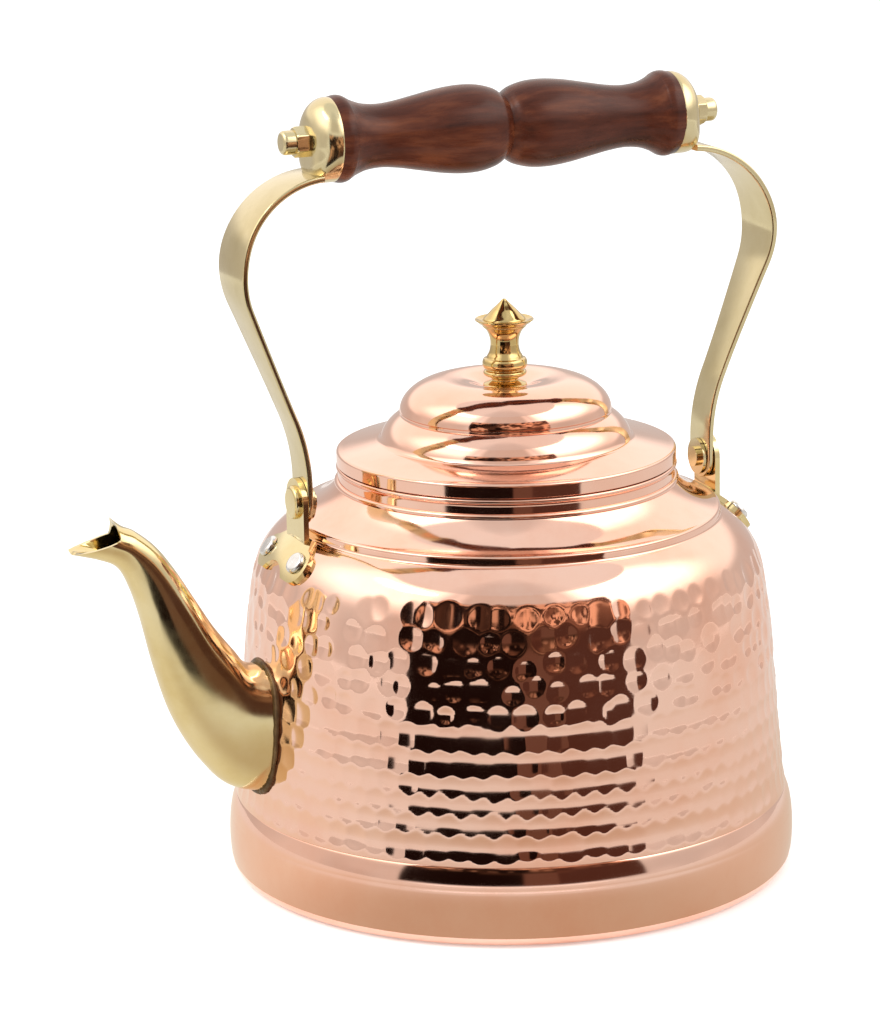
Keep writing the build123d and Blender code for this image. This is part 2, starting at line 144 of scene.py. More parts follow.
def tangent_arc(a, c, direction, steps):
    """Points of the arc that leaves a along direction and ends at c, and its direction there."""
    a, c, d = np.array(a, float), np.array(c, float), np.array(direction, float)
    d /= np.hypot(*d)
    normal = np.array([-d[1], d[0]])
    chord = c - a
    radius = chord @ chord / (2 * chord @ normal)
    centre = a + radius * normal
    turn = 2 * math.atan2(chord @ normal, chord @ d)
    angles = turn * np.linspace(0, 1, steps)
    arm = a - centre
    points = centre + np.column_stack([
        arm[0] * np.cos(angles) - arm[1] * np.sin(angles),
        arm[0] * np.sin(angles) + arm[1] * np.cos(angles),
    ])
    cosine, sine = math.cos(turn), math.sin(turn)
    return points, np.array([d[0] * cosine - d[1] * sine, d[0] * sine + d[1] * cosine])


def straight(a, b, spacing):
    """Evenly spaced points from a to b."""
    a, b = np.array(a, float), np.array(b, float)
    steps = max(2, int(round(np.hypot(*(b - a)) / spacing)) + 1)
    return a + (b - a) * np.linspace(0, 1, steps)[:, None]


def joined(*runs):
    """One outline from several runs, without repeated points."""
    points = np.vstack([np.atleast_2d(np.array(r, float)) for r in runs])
    keep = np.r_[True, np.hypot(*np.diff(points, axis=0).T) > 0.01]
    return points[keep]


def between(a, b, c, d, t):
    """The smooth line from b to c at t, with a before it and d after it."""
    return 0.5 * (
        2 * b + (c - a) * t
        + (2 * a - 5 * b + 4 * c - d) * t**2
        + (3 * b - a - 3 * c + d) * t**3
    )


def smooth_through(points, per_span):
    """A smooth line through the points."""
    p = np.array(points, float)
    padded = np.vstack([2 * p[0] - p[1], p, 2 * p[-1] - p[-2]])
    t = np.linspace(0, 1, per_span, endpoint=False)[:, None]
    spans = [between(*four, t) for four in zip(padded, padded[1:], padded[2:], padded[3:])]
    return np.vstack(spans + [p[-1:]])


def rounded(corners, steps=5):
    """An outline through corners given as (x, y, fillet radius)."""
    out = []
    for i, (x, y, radius) in enumerate(corners):
        here = np.array((x, y), float)
        if radius == 0 or i in (0, len(corners) - 1):
            out.append(here)
            continue
        before = np.array(corners[i - 1][:2], float) - here
        after = np.array(corners[i + 1][:2], float) - here
        before, after = before / np.hypot(*before), after / np.hypot(*after)
        half = 0.5 * math.acos(max(-1.0, min(1.0, before @ after)))
        reach = radius / math.tan(half)
        inwards = (before + after) / np.hypot(*(before + after))
        middle = here + inwards * (radius / math.sin(half) - radius)
        out.extend(arc_through(here + before * reach, middle, here + after * reach, steps))
    return np.array(out)


def offset_inwards(line, distance):
    """The outline moved sideways, to its left as it runs."""
    along = np.gradient(line, axis=0)
    along /= np.hypot(*along.T)[:, None]
    return line + distance * np.column_stack([-along[:, 1], along[:, 0]])


def step_up(x, start, end):
    """0 before start, 1 after end, and smooth between."""
    t = np.clip((x - start) / (end - start), 0, 1)
    return t * t * (3 - 2 * t)


# ---- mesh tools -------------------------------------------------------------------------------
WELD_GAP = 1e-7


def ring_angles(count, offset=0.0):
    """Evenly spaced angles around a full turn, moved on by a part of a space."""
    return (np.arange(count) + offset) * FULL_TURN / count


def grid_faces(rows, columns, close_rows=False):
    """Quads of a grid of rows whose columns close into a ring."""
    last = rows if close_rows else rows - 1
    r = np.arange(last)[:, None]
    c = np.arange(columns)[None, :]
    up = (r + 1) % rows
    right = (c + 1) % columns
    corners = [r * columns + c, r * columns + right, up * columns + right, up * columns + c]
    return np.stack(corners, axis=-1).reshape(-1, 4)


def add_mesh(name, points, faces, sharp=38.0, weld=False):
    """A mesh object in metres from points in millimetres."""
    mesh = bpy.data.meshes.new(name)
    mesh.from_pydata((np.asarray(points) * MM).tolist(), [], [list(map(int, f)) for f in faces])
    work = bmesh.new()
    work.from_mesh(mesh)
    if weld:
        bmesh.ops.remove_doubles(work, verts=work.verts, dist=WELD_GAP)
        wires = [e for e in work.edges if not e.link_faces]
        bmesh.ops.delete(work, geom=wires, context="EDGES")
    bmesh.ops.recalc_face_normals(work, faces=work.faces)
    work.to_mesh(mesh)
    work.free()
    mesh.polygons.foreach_set("use_smooth", [True] * len(mesh.polygons))
    mesh.set_sharp_from_angle(angle=math.radians(sharp))
    mesh.update()
    obj = bpy.data.objects.new(name, mesh)
    bpy.context.scene.collection.objects.link(obj)
    return obj


def turned(name, outline, columns, axis="Z", centre_z=0.0, sharp=38.0):
    """A closed outline turned about the kettle's axis, or about the grip's axis."""
    outline = np.asarray(outline, float)
    first, second = outline[:, :1], outline[:, 1:]
    level = np.ones(columns)
    cosine, sine = np.cos(ring_angles(columns)), np.sin(ring_angles(columns))
    if axis == "Z":
        points = [first * cosine, first * sine, second * level]
    else:
        points = [first * level, second * cosine, centre_z + second * sine]
    points = np.stack(points, axis=-1).reshape(-1, 3)
    return add_mesh(name, points, grid_faces(len(outline), columns, True), sharp, weld=True)


def place(obj, body, slot, material, *nodes):
    """Gives a finished piece its body and its material, and hides the CAD nodes it stands for; the slot is
    not used.
    """
    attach(obj, body)
    if nodes:
        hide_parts(*nodes)
    if not obj.data.materials:
        obj.data.materials.append(material)
    return obj


# ---- materials --------------------------------------------------------------------------------
COAT_ROUGHNESS = 0.12
CLOUD_DETAIL, CLOUD_ROUGHNESS = 6.0, 0.6
SMEAR_DETAIL, SMEAR_FINENESS = 4.0, 3.1
RING_DETAIL = 3.0
PLAIN_ROUGHNESS = 0.5
TONES_FROM, TONES_SPAN = 0.3, 0.42
SMEAR_FROM, SMEAR_TO = 0.3, 0.75


def stretched(tree, coordinates, scale):
    """Coordinates stretched along each axis."""
    mapping = tree.nodes.new("ShaderNodeMapping")
    mapping.inputs["Scale"].default_value = scale
    tree.links.new(coordinates, mapping.inputs["Vector"])
    return mapping.outputs["Vector"]


def noise(tree, vector, scale, detail, roughness=PLAIN_ROUGHNESS):
    texture = tree.nodes.new("ShaderNodeTexNoise")
    texture.inputs["Scale"].default_value = scale
    texture.inputs["Detail"].default_value = detail
    texture.inputs["Roughness"].default_value = roughness
    tree.links.new(vector, texture.inputs["Vector"])
    return texture.outputs["Fac"]


def mixed_tones(tree, factor, tones):
    """A colour that runs through the tones as the factor rises."""
    ramp = tree.nodes.new("ShaderNodeValToRGB")
    elements = ramp.color_ramp.elements
    elements[0].position, elements[1].position = TONES_FROM, TONES_FROM + TONES_SPAN
    elements[0].color, elements[1].color = (*tones[0], 1.0), (*tones[-1], 1.0)
    for i, tone in enumerate(tones[1:-1], 1):
        elements.new(TONES_FROM + TONES_SPAN * i / (len(tones) - 1)).color = (*tone, 1.0)
    tree.links.new(factor, ramp.inputs["Fac"])
    return ramp.outputs["Color"]


def new_material(
    name, metallic, roughness_range, tones, scale, bump=None,
    coat=0.0, rings=None, stretch=(1.0, 1.0, 1.0), specular=0.5,
):
    """A procedural finish: tones mixed by noise, uneven roughness and a fine surface bump."""
    material = bpy.data.materials.new(name)
    material.use_nodes = True
    tree = material.node_tree
    tree.nodes.clear()
    output = tree.nodes.new("ShaderNodeOutputMaterial")
    shader = tree.nodes.new("ShaderNodeBsdfPrincipled")
    tree.links.new(shader.outputs["BSDF"], output.inputs["Surface"])
    shader.inputs["Metallic"].default_value = metallic
    shader.inputs["Coat Weight"].default_value = coat
    shader.inputs["Coat Roughness"].default_value = COAT_ROUGHNESS
    shader.inputs["Specular IOR Level"].default_value = specular

    local = tree.nodes.new("ShaderNodeTexCoord").outputs["Object"]
    vector = stretched(tree, local, stretch)
    cloud = noise(tree, vector, scale, CLOUD_DETAIL, CLOUD_ROUGHNESS)
    tree.links.new(mixed_tones(tree, cloud, tones), shader.inputs["Base Color"])

    smear = noise(tree, vector, SMEAR_FINENESS * scale, SMEAR_DETAIL)
    spread = tree.nodes.new("ShaderNodeMapRange")
    spread.inputs["From Min"].default_value = SMEAR_FROM
    spread.inputs["From Max"].default_value = SMEAR_TO
    spread.inputs["To Min"].default_value = roughness_range[0]
    spread.inputs["To Max"].default_value = roughness_range[1]
    tree.links.new(smear, spread.inputs["Value"])
    tree.links.new(spread.outputs["Result"], shader.inputs["Roughness"])

    if bump:
        strength, depth = bump
        height = noise(tree, stretched(tree, local, rings), 1.0, RING_DETAIL) if rings else smear
        relief = tree.nodes.new("ShaderNodeBump")
        relief.inputs["Strength"].default_value = strength
        relief.inputs["Distance"].default_value = depth * MM
        tree.links.new(height, relief.inputs["Height"])
        tree.links.new(relief.outputs["Normal"], shader.inputs["Normal"])
    return material


COPPER = new_material(
    "polished_copper", 1.0, (0.05, 0.12), [(0.90, 0.50, 0.36), (0.94, 0.60, 0.47), (0.95, 0.65, 0.53)],
    22.0, bump=(0.12, 0.02), rings=(6.0, 6.0, 1300.0),
)
SPUN_COPPER = new_material(
    "spun_copper", 1.0, (0.05, 0.11), [(0.91, 0.52, 0.38), (0.94, 0.60, 0.47), (0.95, 0.65, 0.53)],
    18.0, bump=(0.10, 0.015), rings=(4.0, 4.0, 900.0),
)
TIN = new_material(
    "tin_lining", 1.0, (0.22, 0.42), [(0.50, 0.50, 0.49), (0.72, 0.72, 0.70)],
    60.0, bump=(0.2, 0.05),
)
PALE_BRASS = new_material(
    "pale_brass", 1.0, (0.07, 0.16), [(0.72, 0.57, 0.27), (0.80, 0.67, 0.37), (0.84, 0.73, 0.45)],
    40.0, bump=(0.08, 0.02),
)
STRAP_BRASS = new_material(
    "rolled_brass", 1.0, (0.10, 0.22), [(0.58, 0.48, 0.25), (0.68, 0.58, 0.34), (0.75, 0.66, 0.42)],
    30.0, bump=(0.15, 0.02), rings=(700.0, 900.0, 12.0),
)
KNOB_BRASS = new_material(
    "turned_brass", 1.0, (0.06, 0.14), [(0.58, 0.41, 0.16), (0.70, 0.54, 0.25)],
    120.0, bump=(0.15, 0.01), rings=(20.0, 20.0, 2500.0),
)
RIVET_ALLOY = new_material(
    "rivet_alloy", 1.0, (0.16, 0.34), [(0.62, 0.61, 0.59), (0.88, 0.87, 0.85)],
    300.0, bump=(0.3, 0.05),
)
STEEL = new_material(
    "plain_steel", 1.0, (0.22, 0.40), [(0.42, 0.41, 0.40), (0.62, 0.61, 0.60)],
    200.0, bump=(0.2, 0.03),
)
SOLDER = new_material(
    "dark_solder", 0.9, (0.35, 0.60), [(0.06, 0.035, 0.02), (0.28, 0.18, 0.09)],
    160.0, bump=(0.5, 0.15),
)
WOOD = new_material(
    "stained_wood", 0.0, (0.22, 0.36),
    [(0.026, 0.005, 0.002), (0.070, 0.0155, 0.0065), (0.15, 0.042, 0.016)],
    34.0, bump=(0.25, 0.05), coat=0.08, stretch=(0.55, 5.5, 5.5), specular=0.18,
)


# ---- copper body ------------------------------------------------------------------------------
def hammer(profile, columns):
    """How deep the hammering goes at every row and column of the wall."""
    depth = np.zeros((len(profile), columns))
    angles = ring_angles(columns)
    shift = 0.0
    for height, count, half_width, half_height, deepest, jitter in DENT_ROWS:
        shift += ROW_SHIFT + ROW_SHIFT_SPREAD * RNG.normal()
        radius = np.interp(height, profile[:, 1], profile[:, 0])
        for k in range(count):
            middle = (k + shift + jitter * SLIDE_SPREAD * RNG.normal()) * FULL_TURN / count
            level = height + jitter * LEVEL_SPREAD * RNG.normal()
            size = 1.0 + (SIZE_SPREAD + SIZE_SPREAD_PER_JITTER * jitter) * RNG.normal()
            deep = deepest * (1.0 + DEPTH_SPREAD * RNG.normal())
            rows = np.where(abs(profile[:, 1] - level) < DENT_REACH * half_height * size)[0]
            across = (angles - middle + math.pi) % FULL_TURN - math.pi
            cols = np.where(abs(across) * radius < DENT_REACH * half_width * size)[0]
            u = across[cols][None, :] * radius / (half_width * size)
            v = (profile[rows, 1][:, None] - level) / (half_height * size)
            patch = np.ix_(rows, cols)
            depth[patch] = np.maximum(depth[patch], deep * (1 - u**2 - v**2))
    return depth


def body_outline():
    """Outside of the body, from the seam to the lip: the hammered wall, then what is smooth."""
    cone = joined(straight(WALL_FOOT, FOOT_BEND, 0.6), straight(FOOT_BEND, WALL_MID, 0.72))
    wall, slope = tangent_arc(WALL_MID, WALL_TOP, np.subtract(WALL_MID, FOOT_BEND), 31)
    shoulder, _ = tangent_arc(WALL_TOP, SHOULDER_END, slope, 28)
    end_z = SHOULDER_END[1]
    step = joined(
        arc_through(SHOULDER_END, (STEP_R + 0.12, end_z + 0.45), (STEP_R, end_z + 1.2), 5),
        arc_through((STEP_R, STEP_TOP - 0.8), (STEP_R - 0.25, STEP_TOP - 0.22), (STEP_R - 0.9, STEP_TOP), 6),
    )
    slope_end = (COLLAR_R + 1.3, COLLAR_FOOT - 1.4)
    slope_up = arc_through((STEP_R - 0.9, STEP_TOP), (56.3, 113.9), slope_end, 18)
    bead = arc_through(
        (COLLAR_R + 0.9, COLLAR_FOOT - 0.9), (COLLAR_R + 1.05, COLLAR_FOOT), (COLLAR_R, COLLAR_FOOT + 0.7), 8
    )
    collar = straight((COLLAR_R, COLLAR_FOOT + 0.8), (COLLAR_R, LIP_Z - 0.7), 1.0)
    lip = arc_through(
        (COLLAR_R + 0.1, LIP_Z - 0.6), (COLLAR_R + 0.5, LIP_Z + 0.2), (COLLAR_R - 0.2, LIP_Z + 0.8), 7
    )
    return joined(cone, wall, shoulder), joined(step, slope_up, bead, collar, lip)


def make_body():
    """The hammered body with its tinned inside; its hem runs down inside the base pan."""
    wall, upper = body_outline()
    outer = joined(wall, upper)
    inner = offset_inwards(joined(wall, upper[:-3]), SHEET)[::-4]
    inner = inner[inner[:, 1] > LINING_LOW]
    hem = [
        (HEM_R + 0.9, LINING_LOW - 0.6), (HEM_R + 0.1, LINING_LOW - 1.1),
        (HEM_R, HEM_Z), (HEM_R + SHEET, HEM_Z),
        (HEM_R + SHEET, SEAM_Z - 0.4), (WALL_FOOT[0] - 0.4, WALL_FOOT[1]),
    ]
    loop = joined(outer, inner, hem)
    angles = ring_angles(COLUMNS)
    depth = np.zeros((len(loop), COLUMNS))
    depth[: len(wall)] = hammer(wall, COLUMNS)
    along = np.gradient(outer, axis=0)
    along /= np.hypot(*along.T)[:, None]
    normals = np.zeros((len(loop), 2))
    normals[: len(outer)] = np.column_stack([-along[:, 1], along[:, 0]])
    radius = loop[:, :1] + depth * normals[:, :1]
    height = loop[:, 1:] + depth * normals[:, 1:]
    points = np.stack([radius * np.cos(angles), radius * np.sin(angles), height], axis=-1).reshape(-1, 3)
    body = add_mesh("hammered_body", points, grid_faces(len(loop), COLUMNS, True), sharp=50.0)
    body.data.materials.append(COPPER)
    body.data.materials.append(TIN)
    lining = np.zeros((len(loop), COLUMNS), int)
    lining[len(outer) + 2:-len(hem)] = 1
    body.data.polygons.foreach_set("material_index", lining.reshape(-1).tolist())
    place(body, "kettle", "copper", COPPER, "body_shell")


make_body()


# ---- base pan ---------------------------------------------------------------------------------
pan_outer = joined(
    [(0, 0)],
    straight((4, 0), (80.2, 0), 8.0),
    smooth_through([(80.2, 0), (82.9, 0.45), (84.6, 1.7), (85.4, 3.4), (85.6, 4.8)], 4),
    arc_through((85.6, 4.8), (BAND_R, 11.1), (85.62, 17.1), 14),
    arc_through((85.55, 17.4), (84.55, 21.9), (83.74, SEAM_Z - 0.2), 16),
    [(83.55, SEAM_Z)],
)
pan_inner = offset_inwards(pan_outer[2:], SHEET)[::-1]
pan_outline = joined(pan_outer, [(82.5, SEAM_Z - 0.1)], pan_inner, [(0, SHEET)])
base_pan = turned("spun_base_pan", pan_outline, columns=360, sharp=30.0)
place(base_pan, "kettle", "copper", SPUN_COPPER, "base_pan")


# ---- spout ------------------------------------------------------------------------------------
def spout_line(t):
    """Smooth values of the sections' five numbers at t, in steps of one section."""
    s = SPOUT_SECTIONS
    padded = np.vstack([2 * s[0] - s[1], s, 2 * s[-1] - s[-2]])
    i = np.clip(np.floor(t).astype(int), 0, len(s) - 2)
    return between(padded[i], padded[i + 1], padded[i + 2], padded[i + 3], (t - i)[..., None])


def rounded_section(height, width, angle):
    """A point at an angle on a tall rounded section: (up, across)."""
    up, across = np.cos(angle), np.sin(angle)
    boxy = (abs(up) ** SECTION_POWER + abs(across) ** SECTION_POWER) ** (-1.0 / SECTION_POWER)
    reach = (SECTION_ROUNDNESS + (1 - SECTION_ROUNDNESS) * boxy) * 0.5 * width
    stretch = np.tanh(up * SECTION_SHOULDER) * 0.5 * (height - width)
    return up * reach + stretch, across * reach


def spout_point(t, angle, inset):
    """A point on the spout's skin, or inside it by the inset."""
    x, z, height, width, tilt = np.moveaxis(spout_line(t), -1, 0)
    lean = np.radians(tilt)
    up, across = rounded_section(height - 2 * inset, width - 2 * inset, angle)
    return np.stack([x + up * np.sin(lean), across, z + up * np.cos(lean)], axis=-1)


def wall_radius(z):
    """The body's outer radius at a height."""
    wall, _ = body_outline()
    return np.interp(z, wall[:, 1], wall[:, 0])


# the cut through the spout's end, closed by a wide loop beyond it
MOUTH = joined(
    arc_through(LIP_TIP, LIP_MIDDLE, MOUTH_NOTCH, 14),
    arc_through(MOUTH_NOTCH, BEAK_MIDDLE, BEAK_TIP, 14),
    [(-127.6, 133.3), (-152, 132), (-152, 104), (-136.9, 104)],
)


def in_mouth(points):
    """Whether points lie in the outline that is cut from the spout's end."""
    x, z = points[..., 0], points[..., 2]
    inside = np.zeros(x.shape, bool)
    for (x0, z0), (x1, z1) in zip(MOUTH, np.roll(MOUTH, -1, axis=0)):
        crosses = (z0 > z) != (z1 > z)
        with np.errstate(divide="ignore", invalid="ignore"):
            inside ^= crosses & (x < (x1 - x0) * (z - z0) / (z1 - z0) + x0)
    return inside


def spout_skin(angles, inset, rows):
    """Rows of points from the kettle's wall to the mouth's rim, one column for each angle."""
    top = len(SPOUT_SECTIONS) - 1.0
    t = np.linspace(0, top, SEARCH_STEPS)[:, None] * np.ones(len(angles))
    points = spout_point(t, angles[None, :] * np.ones_like(t), inset)
    outside = np.hypot(points[..., 0], points[..., 1]) > wall_radius(points[..., 2]) + ROOT_GAP
    start = t[np.argmax(outside, axis=0), 0]
    cut = in_mouth(points) & (t > MOUTH_FROM)
    end = np.where(cut.any(axis=0), t[np.argmax(cut, axis=0), 0], top)
    steps = np.linspace(0, 1, rows)[:, None]
    along = start + (end - start) * steps
    return spout_point(along, angles[None, :] * np.ones_like(along), inset)


def make_spout():
    """The spout's outside and inside, joined at the wall and at the mouth."""
    angles = ring_angles(SPOUT_COLUMNS)
    outside = spout_skin(angles, 0.0, SPOUT_ROWS)
    inside = spout_skin(angles, SPOUT_SHEET, SPOUT_ROWS)
    points = np.concatenate([outside, inside[::-1]]).reshape(-1, 3)
    faces = grid_faces(2 * SPOUT_ROWS, SPOUT_COLUMNS, True)
    spout = add_mesh("gooseneck_spout", points, faces, sharp=42.0)
    place(spout, "kettle", "brass", PALE_BRASS, "spout")
    make_solder_bead(outside[0], angles)


def make_solder_bead(root, angles):
    """An uneven bead of solder along the spout's root."""
    centre = root.mean(axis=0)
    points = []
    for p, angle in zip(root, angles):
        away = p - centre
        away[0] = 0.0
        away /= np.linalg.norm(away)
        out = np.array([p[0], p[1], 0.0])
        out /= np.linalg.norm(out)
        size = BEAD_SIZE * (1 + BEAD_WAVE * math.sin(5 * angle + 1) + BEAD_SPREAD * RNG.normal())
        for a in ring_angles(BEAD_COLUMNS):
            round_it = math.cos(a) * away * BEAD_FLATNESS + math.sin(a) * out
            points.append(p + BEAD_STEP_OUT * away + size * round_it)
    faces = grid_faces(len(root), BEAD_COLUMNS, True)
    bead = add_mesh("solder_bead", np.array(points), faces, sharp=80.0)
    place(bead, "kettle", "solder", SOLDER, "spout_solder")


make_spout()


# ---- lid --------------------------------------------------------------------------------------
LID_SHEET = 0.9
SCREW_R = 2.2
SKIRT_R = 49.0
SKIRT_INNER_R = 48.2
SKIRT_TOP = 127.8


def ellipse(centre, half_width, half_height, start, end, steps):
    """Part of an ellipse, with angles in degrees from its outer side."""
    a = np.radians(np.linspace(start, end, steps))
    return np.column_stack([centre[0] + half_width * np.cos(a), centre[1] + half_height * np.sin(a)])


lid_outer = joined(
    [(BRIM_R - 0.35, BRIM_LOW), (BRIM_R, BRIM_LOW + 0.3)],
    straight((BRIM_R, BRIM_LOW + 0.6), (BRIM_R, 127.7), 1.0),
    arc_through((BRIM_R, 127.9), (BRIM_R - 0.27, 128.53), (BRIM_R - 0.9, 128.8), 6),
    straight((BRIM_R - 1.2, 128.83), (39.2, 131.2), 1.2),
    arc_through((39.0, 131.25), (38.2, 131.5), (37.65, 132.2), 6),
    ellipse((24.5, 129.7), 13.4, 11.0, 14.5, 57.5, 24),
    arc_through((31.65, 139.2), (31.55, 139.7), (31.78, 140.2), 5),
    ellipse((17.0, 139.6), 14.8, 10.0, 5, 86, 34),
    smooth_through([(15.6, 149.5), (12.4, 149.2), (9.4, 148.3), (7.2, CROWN_Z)], 6),
    [(SCREW_R, CROWN_Z)],
)
lid_inner = offset_inwards(lid_outer[3:-1], LID_SHEET)[::-1]
lid_outline = joined(lid_outer, [(SCREW_R, CROWN_Z - LID_SHEET)], lid_inner)
lid = turned("stepped_lid", lid_outline, columns=360, sharp=40.0)
place(lid, "lid", "copper", SPUN_COPPER, "lid_shell")

skirt_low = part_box("lid_skirt")[0].z / MM
skirt = turned(
    "lid_skirt_ring",
    rounded([
        (SKIRT_R - 0.4, SKIRT_TOP, 0), (SKIRT_R, SKIRT_TOP, 0), (SKIRT_R, skirt_low, 0.35),
        (SKIRT_INNER_R, skirt_low, 0.35), (SKIRT_INNER_R, SKIRT_TOP, 0),
    ]),
    columns=240,
)
place(skirt, "lid", "copper", SPUN_COPPER, "lid_skirt")

knob = turned(
    "turned_knob",
    joined(
        [(0, CROWN_Z)],
        rounded([(0, CROWN_Z, 0), (6.9, CROWN_Z, 0.3), (6.3, 147.9, 0.4), (4.6, 148.5, 0)], 4)[1:],
        smooth_through([(4.6, 148.5), (4.0, 149.1), (4.6, 149.8), (6.0, 150.3)], 5),
        arc_through((6.1, 150.4), (6.5, 151.1), (6.1, 151.8), 8),
        rounded([(6.1, 151.8, 0), (5.6, 152.0, 0.2), (5.6, 152.4, 0.2), (6.3, 152.6, 0)], 3),
        arc_through((6.3, 152.6), (6.75, 154.0), (6.3, 155.4), 10),
        rounded([(6.3, 155.4, 0), (5.5, 155.6, 0.2), (5.3, 156.2, 0)], 3),
        smooth_through(
            [(5.3, 156.2), (4.6, 157.6), (4.25, 159.8), (4.5, 161.9), (5.3, 163.8), (6.6, 165.2)], 6
        ),
        smooth_through([(6.6, 165.2), (6.8, 165.7), (7.6, 166.1), (8.5, 166.9)], 4),
        arc_through((8.5, 166.9), (8.75, 167.25), (8.4, 167.4), 6),
        smooth_through(
            [(8.4, 167.4), (7.2, 166.9), (6.4, 166.9), (6.2, 167.5), (5.0, 168.7), (3.6, 170.2)], 5
        ),
        smooth_through([(3.6, 170.2), (2.2, 171.5), (1.3, 172.4), (0.8, 172.9)], 5),
        rounded([(0.8, 172.9, 0), (0.55, 173.3, 0.2), (0, 173.3, 0)], 4),
    ),
    columns=128,
)
place(knob, "lid", "brass", KNOB_BRASS, "lid_knob")


# ---- bail: straps with their end caps, nuts, grip and rod -------------------------------------
STRAP_X = 65.3
STRAP_T = 1.8
STRAP_EDGE = 0.55
STRAP_END_R = 6.6
STRAP_BEND_LOW = (STRAP_X, 124.0)
STRAP_BEND_HIGH = (69.3, 144.5)
STRAP_SLANT = 36.2
STRAP_TOP_X = 59.5
CAP_RIM_X = GRIP_HIGH.x / MM - 3.4
CAP_R = 12.35
CAP_DEPTH = 8.0
CAP_SHEET = 1.3
CAP_HOLE_R = 2.6
CAP_FLAT_R = 3.8
CAP_BAND = 1.2
CAP_RIM_T = 1.4
CAP_ROUND, CAP_BOXY = 2.0, 4.5
CAP_COLUMNS = 144
NUT_FLATS = 8.0
NUT_CORNER_R = 4.62
NUT_END_R = 3.55
NUT_END_ROUND = 1.3
NUT_COLUMNS = 96
NUT_TIP_X = -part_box("front_cap_nut")[0].x / MM - 1.3
ROD_R = 2.5
BORE_R = 2.7


def bulge(centre, half_width, half_height, power, steps):
    """A quarter of a rounded box, from its top to its outer side."""
    a = np.linspace(math.pi / 2, 0.0, steps)
    across, up = np.cos(a) ** (2 / power), np.sin(a) ** (2 / power)
    return np.column_stack([centre[0] + half_width * across, centre[1] + half_height * up])


def strap_path():
    """The strap's middle line from its foot to the cap, as (x, z)."""
    lower = straight((STRAP_X, PIVOT_Z - STRAP_END_R + 0.05), STRAP_BEND_LOW, 0.6)
    outward, lean = tangent_arc(STRAP_BEND_LOW, STRAP_BEND_HIGH, (0, 1), 20)
    top = outward[-1] + lean * STRAP_SLANT
    slant = straight(outward[-1], top, 1.6)
    back, _ = tangent_arc(top, (STRAP_TOP_X, GRIP_Z - CAP_R + 2.4), lean, 34)
    return joined(lower, outward, slant, back)


def strap_half_width(z):
    """Half of the strap's width at a height: round at the foot, widest below the cap."""
    low = np.sqrt(np.clip(STRAP_END_R**2 - (PIVOT_Z - z) ** 2, 0.3, None))
    line = smooth_through([
        (118.6, STRAP_END_R), (135, 6.4), (152, 6.6), (172, 8.4), (190, 10.5), (204, 9.9), (216, 9.2),
    ], 8)
    high = np.interp(z, line[:, 0], line[:, 1])
    return np.where(z < PIVOT_Z, np.minimum(low, STRAP_END_R), high)


def strap_band(name, side):
    """A flat band with rounded edges along the strap's path."""
    path = strap_path()
    along = np.gradient(path, axis=0)
    along /= np.hypot(*along.T)[:, None]
    out = np.column_stack([along[:, 1], -along[:, 0]])
    half_width = strap_half_width(path[:, 1])
    corners = []
    for sign_w, sign_t, start in ((1, 1, 0), (-1, 1, 90), (-1, -1, 180), (1, -1, 270)):
        for a in np.radians(start + np.linspace(0, 90, 5)):
            corners.append((sign_w, sign_t, math.cos(a), math.sin(a)))
    points = []
    for p, n, w in zip(path, out, half_width):
        for sign_w, sign_t, c, s in corners:
            across = sign_w * (w - STRAP_EDGE) + STRAP_EDGE * c
            thick = sign_t * (0.5 * STRAP_T - STRAP_EDGE) + STRAP_EDGE * s
            points.append((side * (p[0] + n[0] * thick), side * across, p[1] + n[1] * thick))
    count = len(corners)
    faces = [list(f) for f in grid_faces(len(path), count)]
    faces += [list(range(count)), list(range((len(path) - 1) * count, len(path) * count))]
    return add_mesh(name, np.array(points), faces, sharp=50.0)


def cap_outline(power):
    """A cap's section from its rim over the outside and back, as (x, radius)."""
    rim = CAP_RIM_X
    bend = (rim + CAP_BAND, CAP_FLAT_R)
    depth, height = CAP_DEPTH - CAP_BAND, CAP_R - CAP_FLAT_R
    outer = bulge(bend, depth, height, power, 28)
    inner = bulge(bend, depth - CAP_SHEET, height - CAP_RIM_T, power, 14)[::-1]
    return joined(
        [(rim, CAP_R - CAP_RIM_T), (rim, CAP_R - 0.3), (rim + 0.3, CAP_R)], outer,
        [(rim + CAP_DEPTH, CAP_HOLE_R), (rim + CAP_DEPTH - CAP_SHEET, CAP_HOLE_R)], inner,
    )


def cap_cup(name, side):
    """A cap over the grip's end, round above and boxy below, where the strap runs into it."""
    angles = ring_angles(CAP_COLUMNS)
    below = step_up(-np.sin(angles), 0.15, 0.95)[None, :, None]
    cup = cap_outline(CAP_ROUND)[:, None, :] * (1 - below) + cap_outline(CAP_BOXY)[:, None, :] * below
    along, radius = cup[..., 0], cup[..., 1]
    points = np.stack([side * along, radius * np.cos(angles), GRIP_Z + radius * np.sin(angles)], axis=-1)
    return add_mesh(name, points.reshape(-1, 3), grid_faces(len(cup), CAP_COLUMNS, True), sharp=45.0)


def make_strap(end, side):
    """One piece of rolled brass: the flat band and the cap that it ends in."""
    strap = strap_band(f"{end}_strap_band", side)
    cap = cap_cup(f"{end}_cap_cup", side)
    work = bmesh.new()
    work.from_mesh(strap.data)
    work.from_mesh(cap.data)
    work.to_mesh(strap.data)
    work.free()
    bpy.data.objects.remove(cap)
    strap.data.polygons.foreach_set("use_smooth", [True] * len(strap.data.polygons))
    strap.data.set_sharp_from_angle(angle=math.radians(48))
    place(strap, "handle", "brass", STRAP_BRASS, f"{end}_handle_strap")


